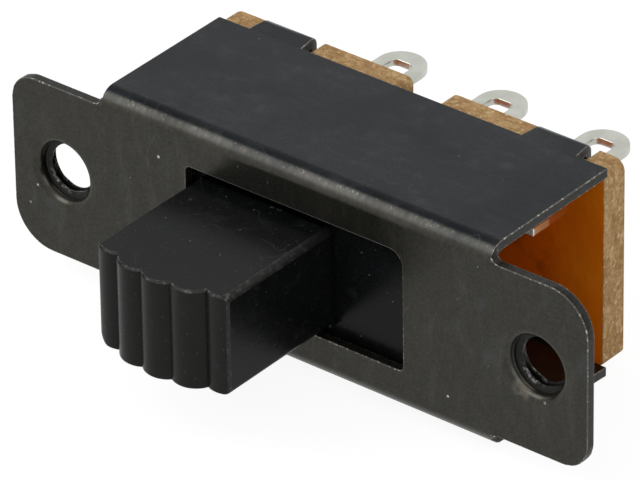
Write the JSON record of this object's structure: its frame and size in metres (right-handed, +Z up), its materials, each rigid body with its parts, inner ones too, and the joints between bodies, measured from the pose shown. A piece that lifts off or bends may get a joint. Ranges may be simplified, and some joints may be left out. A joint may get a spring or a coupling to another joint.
{
  "type": "slide switch",
  "caption": "Small slide switch with a folded steel frame, screw ears, a ribbed sliding knob and solder lugs on a phenolic board.",
  "frame": {"origin": "middle of the two mounting holes, on the front face of the plate", "axes": "+X along the switch and the knob's travel, -Y out of the panel face towards the knob, +Z up across the switch"},
  "size_m": [0.034, 0.025, 0.0113],
  "materials": {
    "black_steel": "thin satin black finish on sheet steel, brighter on bends and cut edges",
    "phenolic_board": "laminated phenolic, glossy orange-brown faces and pale fibrous cut edges",
    "black_moulding": "satin black moulding with a fine grain",
    "contact_bronze": "bright rolled spring bronze",
    "spring_steel": "bright steel",
    "tinned_lug": "satin tin plating"
  },
  "bodies": {
    "housing": {"frame": "black_steel", "terminal_board": "phenolic_board", "terminal_left": "tinned_lug", "terminal_centre": "tinned_lug", "terminal_right": "tinned_lug"},
    "slider": {"slider": "black_moulding", "contact_clip": "contact_bronze", "detent_spring": "spring_steel", "detent_ball": "spring_steel"}
  },
  "joints": [
    {"name": "knob_slide", "type": "slide", "parent": "housing", "child": "slider", "axis": [1, 0, 0], "range_m": [0, 0.0038]}
  ]
}
